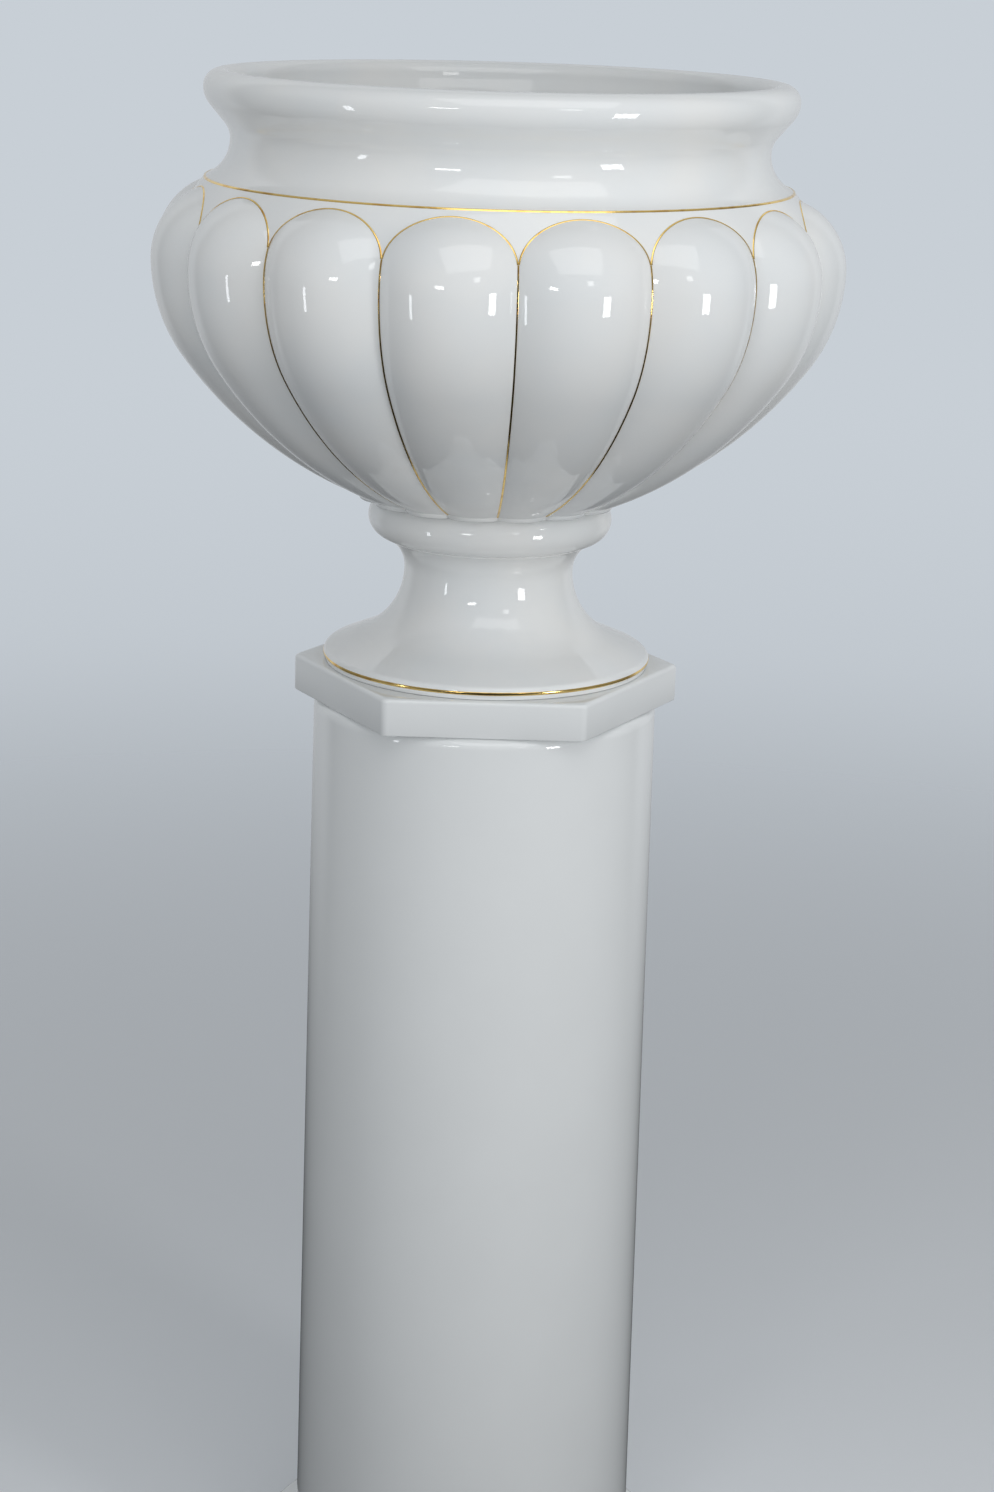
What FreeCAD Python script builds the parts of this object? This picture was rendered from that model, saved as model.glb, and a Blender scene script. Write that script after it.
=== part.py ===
"""Jardiniere on stand: a footed planter bowl with sixteen gadroons, loose on a tall ceramic pedestal.

The bowl is luted to its foot, and the two lift off the pedestal together. The pedestal is a
hexagonal cap, a round hollow column and a hexagonal plinth, bedded one on the other.
Units are millimetres, +Z is up, and the origin is on the floor under the middle of the plinth.
"""

import FreeCAD
import Part

import math
import os

import Sketcher

doc = FreeCAD.newDocument("jardiniere_on_stand")

# ---------------------------------------------------------------- driving dimensions

# Heights of the jardiniere count from the face that its foot stands on.
DIMENSIONS = {
    "pedestal_height": 700.0,
    "cap_apothem": 113.2,
    "cap_thickness": 25.0,
    "cap_corner_fillet": 6.0,
    "cap_arris_chamfer": 2.2,
    "column_top_radius": 116.5,
    "column_foot_radius": 122.1,
    "column_wall": 10.0,
    "column_edge_fillet": 7.0,
    "plinth_apothem": 134.0,
    "plinth_height": 40.0,
    "plinth_wall": 12.0,
    "plinth_plate": 14.0,
    "plinth_bore": 100.0,
    "jardiniere_turn": -7.85,
    "glaze_wall": 9.0,
    "foot_base_radius": 109.5,
    "foot_ring_width": 9.5,
    "foot_edge_radius": 110.6,
    "foot_edge_height": 4.6,
    "foot_edge_arc": 5.0,
    "foot_slope": 25.0,
    "stem_radius": 56.8,
    "stem_height": 64.0,
    "stem_lower_arc": 50.0,
    "stem_upper_arc": 23.5,
    "waist_end": 119.5,
    "bead_radius": 81.7,
    "bead_arc": 14.2,
    "bead_height": 99.5,
    "seat_height": 112.0,
    "spigot_radius": 44.0,
    "stem_bore": 44.5,
    "spigot_depth": 8.0,
    "lobe_count": 16.0,
    "belly_radius": 228.0,
    "belly_height": 271.0,
    "belly_arc": 108.0,
    "belly_arc_angle": 36.0,
    "underside_arc": 275.0,
    "crown_arc": 47.5,
    "lobe_share": 0.2267,
    "dome_start": 290.5,
    "dome_rise": 28.0,
    "shoulder_radius": 210.85,
    "shoulder_height": 270.0,
    "shoulder_arc": 75.0,
    "arch_spring": 292.0,
    "arch_top": 316.2,
    "arch_inset": 0.5,
    "lobe_root": 50.0,
    "core_radius": 60.0,
    "core_height": 200.0,
    "break_height": 320.5,
    "neck_radius": 175.0,
    "neck_height": 344.5,
    "neck_arc": 16.0,
    "neck_slope": 40.0,
    "rim_radius": 192.2,
    "rim_height": 377.0,
    "rim_under_arc": 17.0,
    "rim_top_arc": 11.0,
    "lip_arc": 9.2,
    "neck_bore": 166.0,
    "floor_height": 121.0,
    "gilt_width": 2.0,
    "gilt_proud": 0.5,
    "gilt_share": 0.17,
}

sheet = doc.addObject("Spreadsheet::Sheet", "Size")
for row, (alias, number) in enumerate(DIMENSIONS.items(), start=1):
    sheet.set(f"A{row}", alias.replace("_", " "))
    sheet.set(f"B{row}", str(number))
    sheet.setAlias(f"B{row}", alias)
doc.recompute()


def bound(formula):
    """Return a formula with each alias written as a reference to the sheet."""
    text, word = "", ""
    for letter in f"{formula} ":
        if letter.isalnum() or letter in "_.":
            word += letter
        else:
            text += f"Size.{word}" if word in DIMENSIONS else word
            text += letter
            word = ""
    return text.strip()


def value(formula):
    """Return the number that a formula over the sheet's aliases comes to."""
    return float(sheet.evalExpression(bound(formula)))


def derive(alias, formula):
    """Add a size that follows from the others to the sheet."""
    DIMENSIONS[alias] = formula
    row = len(DIMENSIONS)
    sheet.set(f"A{row}", alias.replace("_", " "))
    sheet.set(f"B{row}", f"={formula}")
    sheet.setAlias(f"B{row}", alias)
    sheet.recompute()


# ---------------------------------------------------------------- sketches and features


def origin_feature(body, role):
    """Return the body's own origin plane or axis of that role, such as XZ_Plane or Z_Axis."""
    return next(feature for feature in body.Origin.OriginFeatures if feature.Role == role)


def bend(centre, radius, start, stop, steps):
    """Return the points of a round stretch as formulas, from one angle in degrees to another."""
    turns = [f"({start} + ({stop} - ({start})) * {step} / {steps})" for step in range(steps + 1)]
    return [
        (f"{centre[0]} + {radius} * cos({turn})", f"{centre[1]} + {radius} * sin({turn})")
        for turn in turns
    ]


def arc_geometry(begin, end, radius):
    """Return the arc of under half a turn that runs anticlockwise from begin to end."""
    first = FreeCAD.Vector(*begin, 0)
    last = FreeCAD.Vector(*end, 0)
    chord = last - first
    to_left = FreeCAD.Vector(-chord.y, chord.x, 0).normalize()
    centre = (first + last) / 2 + to_left * math.sqrt(radius**2 - chord.Length**2 / 4)
    turns = [math.atan2(point.y - centre.y, point.x - centre.x) for point in (first, last)]
    if turns[1] < turns[0]:
        turns[1] += 2 * math.pi
    circle = Part.Circle(centre, FreeCAD.Vector(0, 0, 1), radius)
    return Part.ArcOfCircle(circle, *turns)


def place_point(sketch, index, end, point):
    """Bind one end of an edge to the point that two formulas give."""
    for kind, formula in zip(("DistanceX", "DistanceY"), point):
        fixed = Sketcher.Constraint(kind, -1, 1, index, end, value(formula))
        number = sketch.addConstraint(fixed)
        sketch.setExpression(f"Constraints[{number}]", bound(formula))


def outline(body, name, role, points, height=None):
    """Draw a closed outline on one of the body's planes, with its points bound to the sheet.

    Each of points is a pair of formulas. A third one is the radius of the arc that leads
    anticlockwise to the next point. A height lifts the sketch off its plane.
    """
    sketch = body.newObject("Sketcher::SketchObject", name)
    sketch.AttachmentSupport = [(origin_feature(body, role), "")]
    sketch.MapMode = "FlatFace"
    if height is not None:
        sketch.setExpression("AttachmentOffset.Base.z", bound(height))
    for here, there in zip(points, points[1:] + points[:1]):
        begin = tuple(value(formula) for formula in here[:2])
        end = tuple(value(formula) for formula in there[:2])
        if len(here) == 2:
            edge = Part.LineSegment(FreeCAD.Vector(*begin, 0), FreeCAD.Vector(*end, 0))
            index = sketch.addGeometry(edge)
        else:
            index = sketch.addGeometry(arc_geometry(begin, end, value(here[2])))
            number = sketch.addConstraint(Sketcher.Constraint("Radius", index, value(here[2])))
            sketch.setExpression(f"Constraints[{number}]", bound(here[2]))
        place_point(sketch, index, 1, here[:2])
    last = len(points) - 1
    for index in range(last + 1):
        following = 0 if index == last else index + 1
        sketch.addConstraint(Sketcher.Constraint("Coincident", index, 2, following, 1))
    return sketch


def new_body(name, height=None):
    """Start a sub-part as a body of its own, standing at a height that a formula gives."""
    body = doc.addObject("PartDesign::Body", name)
    body.Label = name
    if height is not None:
        body.setExpression("Placement.Base.z", bound(height))
    return body


def turned(body, name, points, kind="PartDesign::Revolution"):
    """Turn an outline in the body's XZ plane about the vertical axis, as a solid or as a groove."""
    sketch = outline(body, f"{name}_outline", "XZ_Plane", points)
    feature = body.newObject(kind, name)
    feature.Profile = sketch
    feature.ReferenceAxis = (sketch, ["V_Axis"])
    feature.Angle = 360
    body.Tip = feature
    return feature


def hexagon(apothem):
    """Return the corners of a hexagon with one flat to the front."""
    turns = [-120 + 60 * corner for corner in range(6)]
    return [(f"{apothem} / cos(30) * cos({t})", f"{apothem} / cos(30) * sin({t})") for t in turns]


def prism(body, name, apothem, thickness, kind="PartDesign::Pad", height=None):
    """Raise a hexagonal slab, or cut a hexagonal pocket, from the body's XY plane."""
    feature = body.newObject(kind, name)
    feature.Profile = outline(body, f"{name}_outline", "XY_Plane", hexagon(apothem), height)
    feature.setExpression("Length", bound(thickness))
    feature.Reversed = kind == "PartDesign::Pocket"
    body.Tip = feature
    return feature


def softened(body, name, base, kind, size, chosen):
    """Fillet or chamfer those edges of a feature that the test chosen accepts."""
    doc.recompute()
    edges = base.Shape.Edges
    names = [f"Edge{number}" for number, edge in enumerate(edges, start=1) if chosen(edge)]
    feature = body.newObject(f"PartDesign::{kind}", name)
    feature.Base = (base, names)
    feature.setExpression("Radius" if kind == "Fillet" else "Size", bound(size))
    body.Tip = feature
    return feature


def is_upright(edge):
    """Tell whether an edge stands vertical."""
    box = edge.BoundBox
    return box.ZLength > max(box.XLength, box.YLength)


def lies_at(height):
    """Return a test for edges that lie level at a height."""
    return lambda edge: edge.BoundBox.ZLength < 0.01 and abs(edge.BoundBox.ZMax - height) < 0.01


# ---------------------------------------------------------------- pedestal


def make_plinth():
    """Hexagonal plinth, slip-cast as an open box: a top plate with a drying hole, and six walls."""
    body = new_body("plinth")
    slab = prism(body, "plinth_block", "plinth_apothem", "plinth_height")
    corners = softened(body, "plinth_corners", slab, "Fillet", "cap_corner_fillet", is_upright)
    top = lies_at(value("plinth_height"))
    softened(body, "plinth_arris", corners, "Chamfer", "cap_arris_chamfer", top)
    inside, depth = "(plinth_apothem - plinth_wall)", "(plinth_height - plinth_plate)"
    prism(body, "plinth_hollow", inside, depth, "PartDesign::Pocket")
    turned(
        body,
        "plinth_drying_hole",
        [("0", "0"), ("plinth_bore", "0"), ("plinth_bore", "plinth_height"), ("0", "plinth_height")],
        "PartDesign::Groove",
    )
    return body


def make_column():
    """Round column, tapering upwards, with a soft top edge and a bore that follows the taper."""
    body = new_body("column", "plinth_height")
    length = "(pedestal_height - cap_thickness - plinth_height)"
    edge_centre = "(column_top_radius - column_edge_fillet)", f"({length} - column_edge_fillet)"
    turned(
        body,
        "column_wall",
        [
            ("column_top_radius - column_wall", "0"),
            ("column_foot_radius", "0"),
            *bend(edge_centre, "column_edge_fillet", "0", "90", 2),
            ("column_top_radius - column_wall", length),
        ],
    )
    return body


def make_cap():
    """Hexagonal cap slab with a flat to the front, its corners and arrises softened by the glaze."""
    body = new_body("cap", "pedestal_height - cap_thickness")
    slab = prism(body, "cap_slab", "cap_apothem", "cap_thickness")
    corners = softened(body, "cap_corners", slab, "Fillet", "cap_corner_fillet", is_upright)
    top = lies_at(value("cap_thickness"))
    softened(body, "cap_top_arris", corners, "Chamfer", "cap_arris_chamfer", top)
    return body


# ---------------------------------------------------------------- foot of the jardiniere


def make_foot():
    """Spreading hollow foot with a waisted stem and the bead on which the bowl sits."""
    body = new_body("foot", "pedestal_height")
    body.setExpression("Placement.Rotation.Angle", bound("jardiniere_turn"))
    edge = "(foot_edge_radius - foot_edge_arc)", "foot_edge_height"
    flare = "(stem_radius + stem_lower_arc)", "stem_height"
    waist = "(stem_radius + stem_upper_arc)", "stem_height"
    bead = "(bead_radius - bead_arc)", "bead_height"
    bead_end = "asin((seat_height - bead_height) / bead_arc)"
    turned(
        body,
        "foot_wall",
        [
            ("foot_base_radius - foot_ring_width", "0"),
            ("foot_base_radius", "0"),
            *bend(edge, "foot_edge_arc", "0", "(90 - foot_slope)", 1),
            *bend(flare, "stem_lower_arc", "(270 - foot_slope)", "180", 3),
            *bend(waist, "stem_upper_arc", "150", "waist_end", 2),
            *bend(bead, "bead_arc", "-70", "30", 3),
            (f"{bead[0]} + bead_arc * cos({bead_end})", "seat_height"),
            ("stem_bore", "seat_height"),
            *bend(flare, "(stem_lower_arc + stem_radius - stem_bore)", "180", "(270 - foot_slope)", 2),
        ],
    )
    return body


# ---------------------------------------------------------------- bowl of the jardiniere

LOBE_FACETS = 6
UNDERSIDE_STEPS = 4
BELLY_STEPS = 3
DOME_STEPS = (0.45, 0.8, 0.96)

derive("half_pitch", "180 / lobe_count")
derive("knee_radius", "belly_radius - belly_arc * (1 - cos(belly_arc_angle))")
derive("knee_height", "belly_height - belly_arc * sin(belly_arc_angle)")
derive("under_radius", "knee_radius - underside_arc * cos(belly_arc_angle)")
derive("under_height", "knee_height + underside_arc * sin(belly_arc_angle)")
derive("under_angle", "asin((under_height - seat_height) / underside_arc) / 1 deg")
derive("shoulder_centre", "shoulder_radius - shoulder_arc")
derive("shoulder_low", "asin((arch_spring - 2 * arch_inset - shoulder_height) / shoulder_arc) / 1 deg")
derive("shoulder_high", "asin((break_height - shoulder_height) / shoulder_arc) / 1 deg")
derive("break_radius", "shoulder_centre + shoulder_arc * cos(shoulder_high)")


def reach(centre_radius, centre_height, arc, height):
    """Return the formula for how far out an arc lies at a height."""
    return f"({centre_radius} + sqrt({arc}^2 - ({height} - {centre_height})^2))"


def crest(height, inset="0"):
    """Return the formula for a crest's radius at a height, or that of a skin behind it."""
    if value(height) < value("knee_height"):
        return reach("under_radius", "under_height", f"(underside_arc - {inset})", height)
    arc = "belly_arc" if value(height) < value("belly_height") else "crown_arc"
    return reach(f"(belly_radius - {arc})", "belly_height", f"({arc} - {inset})", height)


def shoulder(height):
    """Return the formula for the radius of the plain shoulder behind the arches at a height."""
    return reach("shoulder_centre", "shoulder_height", "shoulder_arc", height)


def lobe_heights():
    """Return formulas for the heights of a lobe's sections, from the seat to the arch's top."""
    heights = ["seat_height"]
    for step in range(1, UNDERSIDE_STEPS + 1):
        turn = f"(under_angle + (belly_arc_angle - under_angle) * {step / UNDERSIDE_STEPS})"
        heights.append(f"under_height - underside_arc * sin({turn})")
    for step in range(1, BELLY_STEPS + 1):
        turn = f"(belly_arc_angle * {1 - step / BELLY_STEPS})"
        heights.append(f"belly_height - belly_arc * sin({turn})")
    heights += ["(belly_height + arch_spring) / 2", "arch_spring"]
    heights += [f"arch_spring + (arch_top - arch_spring) * {part}" for part in DOME_STEPS]
    return heights


def derive_level(number, height):
    """Add the sizes of a lobe's section at one level to the sheet.

    Its round face is an arc about axis_N with radius face_N, as far as turn_N to each side. It ends
    where it meets the next lobe, at valley_N from the bowl's axis, or above the spring of the arches
    where it meets the shoulder.
    """
    level, axis, face = f"level_{number}", f"axis_{number}", f"face_{number}"
    derive(level, height)
    if value(level) < value("belly_height"):
        derive(face, f"lobe_share * {crest(level)}")
    elif value(level) < value("dome_start"):
        derive(face, "lobe_share * belly_radius")
    else:
        rise = f"(({level} - dome_start) / dome_rise)"
        derive(face, f"lobe_share * belly_radius * sqrt(1 - {rise}^2)")
    derive(axis, f"{crest(level)} - {face}")
    if value(level) > value("arch_spring"):
        core = f"({shoulder(level)} - arch_inset)"
        along = f"(({core}^2 - {face}^2 + {axis}^2) / (2 * {axis}))"
        derive(f"turn_{number}", f"acos(({along} - {axis}) / {face}) / 1 deg")
    else:
        rest = f"sqrt({face}^2 - ({axis} * sin(half_pitch))^2)"
        derive(f"valley_{number}", f"{axis} * cos(half_pitch) + {rest}")
        derive(f"turn_{number}", f"asin(valley_{number} * sin(half_pitch) / {face}) / 1 deg")


SHOULDER = bend(
    ("shoulder_centre", "shoulder_height"), "shoulder_arc", "shoulder_low", "shoulder_high", 3
)
LEVELS = lobe_heights()
SPRING_LEVEL = UNDERSIDE_STEPS + BELLY_STEPS + 2
for level_number, level_height in enumerate(LEVELS):
    derive_level(level_number, level_height)


def lobe_section(body, number):
    """Draw one level section of a lobe: a wedge whose outer side is the lobe's round face."""
    turn = f"turn_{number}"
    face = bend((f"axis_{number}", "0"), f"face_{number}", f"-{turn}", turn, LOBE_FACETS)
    root = "lobe_root * cos(half_pitch)", "lobe_root * sin(half_pitch)"
    corners = [(root[0], f"-{root[1]}"), *face, root]
    return outline(body, f"lobe_section_{number}", "XY_Plane", corners, f"level_{number}")


def hollow_section(body, number, height, radius):
    """Draw one level section of the hollow: sixteen-sided, with a corner behind each crest."""
    turns = [f"({2 * lobe} * half_pitch)" for lobe in range(round(value("lobe_count")))]
    corners = [(f"{radius} * cos({turn})", f"{radius} * sin({turn})") for turn in turns]
    return outline(body, f"hollow_section_{number}", "XY_Plane", corners, height)


def make_hollow(body):
    """Cut the hollow of the belly, which keeps the wall's thickness behind the valleys."""
    share = "(valley_0 / (axis_0 + face_0) / cos(half_pitch))"
    heights = ["floor_height", *(f"level_{number}" for number in range(1, SPRING_LEVEL + 1))]
    rings = [(height, f"{crest(height, 'glaze_wall')} * {share}") for height in heights]
    rings.append(("arch_top - glaze_wall", f"({shoulder('arch_top')} - glaze_wall)"))
    rings.append(("neck_height - glaze_wall", "neck_bore"))
    sections = [hollow_section(body, number, *ring) for number, ring in enumerate(rings)]
    hollow = body.newObject("PartDesign::SubtractiveLoft", "hollow")
    hollow.Profile = sections[0]
    hollow.Sections = sections[1:]
    hollow.Ruled = True
    body.Tip = hollow
    return hollow


def make_bowl():
    """Gadrooned bowl: turned neck and shoulder, sixteen lobes that end in arches, and the hollow."""
    body = new_body("bowl", "pedestal_height")
    body.setExpression("Placement.Rotation.Angle", bound("jardiniere_turn"))
    neck_depth = "(break_radius - neck_radius)"
    hollow_arc = f"(({neck_depth}^2 + (neck_height - break_height)^2) / (2 * {neck_depth}))"
    below_neck = f"(neck_radius + {hollow_arc})", "neck_height"
    above_neck = "(neck_radius + neck_arc)", "neck_height"
    under_rim = "(rim_radius - rim_under_arc)", "rim_height"
    rim = "(rim_radius - rim_top_arc)", "rim_height"
    lip = rim[0], "(rim_height + rim_top_arc - lip_arc)"
    turned(
        body,
        "neck_and_core",
        [
            ("0", "seat_height - spigot_depth"),
            ("spigot_radius", "seat_height - spigot_depth"),
            ("spigot_radius", "seat_height"),
            ("core_radius", "seat_height"),
            ("core_radius", "core_height"),
            *SHOULDER,
            *bend(below_neck, hollow_arc, "225", "180", 2),
            *bend(above_neck, "neck_arc", "(180 - neck_slope / 2)", "(180 - neck_slope)", 1),
            *bend(under_rim, "rim_under_arc", "-neck_slope", "0", 1),
            *bend(rim, "rim_top_arc", "45", "90", 1),
            *bend(lip, "lip_arc", "135", "180", 1),
            ("0", lip[1]),
        ],
    )
    lobe = body.newObject("PartDesign::AdditiveLoft", "lobe")
    sections = [lobe_section(body, number) for number in range(len(LEVELS))]
    lobe.Profile = sections[0]
    lobe.Sections = sections[1:]
    lobe.Ruled = True
    body.Tip = lobe
    ring = body.newObject("PartDesign::PolarPattern", "ring_of_lobes")
    ring.Originals = [lobe]
    ring.Axis = (origin_feature(body, "Z_Axis"), [""])
    ring.Angle = 360
    ring.setExpression("Occurrences", bound("lobe_count"))
    body.Tip = ring
    doc.recompute()
    solid_volume = ring.Shape.Volume
    make_hollow(body)
    mouth = turned(
        body,
        "mouth",
        [
            ("0", "neck_height - glaze_wall"),
            ("neck_bore", "neck_height - glaze_wall"),
            ("neck_bore", "neck_height + glaze_wall"),
            (f"{lip[0]} - lip_arc", lip[1]),
            (f"{lip[0]} - lip_arc", f"{lip[1]} + glaze_wall"),
            ("0", f"{lip[1]} + glaze_wall"),
        ],
        "PartDesign::Groove",
    )
    doc.recompute()
    if mouth.Shape.Volume > 0.6 * solid_volume:
        raise SystemExit("the bowl is not hollow")
    return body


# ---------------------------------------------------------------- gilding


def gilt_ring(name, points):
    """Turn a thin gilded line that wraps a round edge, four-sided in section."""
    body = new_body(name, "pedestal_height")
    body.setExpression("Placement.Rotation.Angle", bound("jardiniere_turn"))
    turned(body, f"{name}_band", points)
    return body


def on_line(first, last, share):
    """Return the point at a share of the straight way from one point to another."""
    return tuple(f"({start} + ({stop} - ({start})) * {share})" for start, stop in zip(first, last))


def make_shoulder_gilt_line():
    """Gilded line on the break between the shoulder and the neck."""
    edge = SHOULDER[-1]
    low = on_line(edge, SHOULDER[-2], "gilt_share")
    return gilt_ring("shoulder_gilt_line", [edge, low, (f"{edge[0]} + gilt_proud", edge[1])])


def make_foot_gilt_line():
    """Gilded line on the widest edge of the foot."""
    edge = "foot_edge_radius", "foot_edge_height"
    base = "foot_base_radius", "0"
    low = on_line(edge, base, "2 * gilt_share")
    return gilt_ring("foot_gilt_line", [edge, low, (f"{edge[0]} + gilt_proud", edge[1])])


def make_lobe_gilt_lines():
    """Gilded lines that run down the valleys between the lobes."""
    body = new_body("lobe_gilt_lines", "pedestal_height")
    body.setExpression("Placement.Rotation.Angle", bound("jardiniere_turn + half_pitch"))
    line = body.newObject("PartDesign::AdditiveLoft", "valley_line")
    sections = []
    for number in range(SPRING_LEVEL + 1):
        valley = f"valley_{number}"
        flank = f"(90 + half_pitch - turn_{number} * {1 - 1 / LOBE_FACETS})"
        front = f"{valley} + gilt_width / 2 / tan({flank})"
        corners = [(valley, "0"), (front, "gilt_width / 2"), (front, "-gilt_width / 2")]
        section = outline(body, f"valley_section_{number}", "XY_Plane", corners, f"level_{number}")
        sections.append(section)
    line.Profile = sections[0]
    line.Sections = sections[1:]
    line.Ruled = True
    ring = body.newObject("PartDesign::PolarPattern", "ring_of_lines")
    ring.Originals = [line]
    ring.Axis = (origin_feature(body, "Z_Axis"), [""])
    ring.Angle = 360
    ring.setExpression("Occurrences", bound("lobe_count"))
    body.Tip = ring
    return body


parts = [
    make_plinth(),
    make_column(),
    make_cap(),
    make_foot(),
    make_bowl(),
    make_shoulder_gilt_line(),
    make_lobe_gilt_lines(),
    make_foot_gilt_line(),
]
doc.recompute()

# ---------------------------------------------------------------- checks and files

for thing in doc.Objects:
    if {"Invalid", "Error"} & set(thing.State):
        raise SystemExit(f"{thing.Name} failed: {thing.State}")
for part in parts:
    if part.Shape.isNull() or not part.Shape.isValid():
        raise SystemExit(f"{part.Label} has no valid shape")

os.makedirs("parts", exist_ok=True)
for part in parts:
    part.Shape.exportStep(f"parts/{part.Label}.step")
    box = part.Shape.BoundBox
    volume = part.Shape.Volume
    print(f"{part.Label}: {len(part.Shape.Solids)} solid, {volume:.0f} mm3, z {box.ZMin:.1f} to {box.ZMax:.1f}")
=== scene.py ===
"""Glazed and gilded jardiniere on its round pedestal, dressed as a studio photograph.

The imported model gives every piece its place. Each class below holds the sizes of one sub-assembly
in millimetres, builds its smooth meshes and dresses them. Heights of the jardiniere count from the
face that its foot stands on, and heights of the pedestal from the floor.
"""

import logging
import math
from dataclasses import dataclass, field
from enum import Enum
from typing import Any

import bmesh
import bpy
import numpy as np
from mathutils import Matrix, Vector

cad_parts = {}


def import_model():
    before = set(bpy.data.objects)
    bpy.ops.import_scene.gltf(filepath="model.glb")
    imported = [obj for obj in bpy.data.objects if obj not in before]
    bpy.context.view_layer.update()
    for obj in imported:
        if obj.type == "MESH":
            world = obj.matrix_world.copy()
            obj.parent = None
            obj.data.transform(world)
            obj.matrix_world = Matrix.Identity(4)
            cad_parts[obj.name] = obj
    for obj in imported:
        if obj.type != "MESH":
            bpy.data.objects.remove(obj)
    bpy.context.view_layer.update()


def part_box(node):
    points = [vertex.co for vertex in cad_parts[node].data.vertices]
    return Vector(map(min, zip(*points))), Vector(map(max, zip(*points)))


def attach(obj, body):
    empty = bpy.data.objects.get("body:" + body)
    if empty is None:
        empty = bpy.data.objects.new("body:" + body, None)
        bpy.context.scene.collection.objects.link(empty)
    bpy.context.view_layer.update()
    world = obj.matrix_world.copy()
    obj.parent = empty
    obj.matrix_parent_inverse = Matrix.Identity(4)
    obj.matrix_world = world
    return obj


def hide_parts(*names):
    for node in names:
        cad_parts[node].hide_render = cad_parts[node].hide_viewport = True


LOG = logging.getLogger("jardiniere")
MM = 0.001
FULL_TURN = 2 * math.pi
HALVINGS = 50
MERGE_REACH = 2e-6
SLIVER_REACH = 1e-7
NO_CREASE = 180.0
EASED = "SMOOTHSTEP"

Profile = list[tuple[float, float]]
Place = tuple[float, float, float]
Row = list[Place]


# ---------------------------------------------------------------- profiles


def arc(
    centre: tuple[float, float], radius: float, start: float, stop: float, steps: int
) -> Profile:
    """Return the points of an arc in the plane of radius and height.

    Args:
        centre: radius and height of the arc's centre, in millimetres.
        radius: radius of the arc, in millimetres.
        start: first angle in degrees, from the outward direction towards +Z.
        stop: last angle in degrees.
        steps: number of equal steps.

    Returns:
        The points from start to stop, both included.
    """
    turns = [math.radians(start + (stop - start) * step / steps) for step in range(steps + 1)]
    return [(centre[0] + radius * math.cos(t), centre[1] + radius * math.sin(t)) for t in turns]


def smooth_run(marks: Profile, steps: int) -> Profile:
    """Return a smooth run through a few marks.

    Args:
        marks: the points that the run passes.
        steps: number of steps from one mark to the next.

    Returns:
        Points of a Catmull-Rom curve through the marks.
    """
    ends = [marks[0], *marks, marks[-1]]
    run: Profile = []
    for a, b, c, d in zip(ends, ends[1:], ends[2:], ends[3:]):
        for step in range(steps):
            t = step / steps
            weights = (
                (-t + 2 * t**2 - t**3) / 2,
                (2 - 5 * t**2 + 3 * t**3) / 2,
                (t + 4 * t**2 - 3 * t**3) / 2,
                (-(t**2) + t**3) / 2,
            )
            run.append(tuple(sum(w * p[i] for w, p in zip(weights, (a, b, c, d))) for i in (0, 1)))
    return [*run, marks[-1]]


def turned_grid(profile: Profile, turns: np.ndarray) -> np.ndarray:
    """Return a grid of points, with rows along a profile and columns round the axis."""
    radius = np.array([point[0] for point in profile])[:, None]
    height = np.array([point[1] for point in profile])[:, None]
    level = height * np.ones_like(turns)[None, :]
    return np.stack([radius * np.cos(turns), radius * np.sin(turns), level], axis=-1)


def even_turns(columns: int) -> np.ndarray:
    """Return evenly spaced angles round the axis, in radians."""
    return np.linspace(0, FULL_TURN, columns, endpoint=False)


def even_quarter(steps: int) -> np.ndarray:
    """Return evenly spaced angles from zero to just under a quarter turn, in radians."""
    return np.linspace(0, FULL_TURN / 4, steps, endpoint=False)


def solve(gap: Any, low: float, high: float) -> float:
    """Return where a falling function passes zero between low and high."""
    for _ in range(HALVINGS):
        middle = (low + high) / 2
        if gap(middle) > 0:
            low = middle
        else:
            high = middle
    return (low + high) / 2


# ---------------------------------------------------------------- meshes


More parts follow.
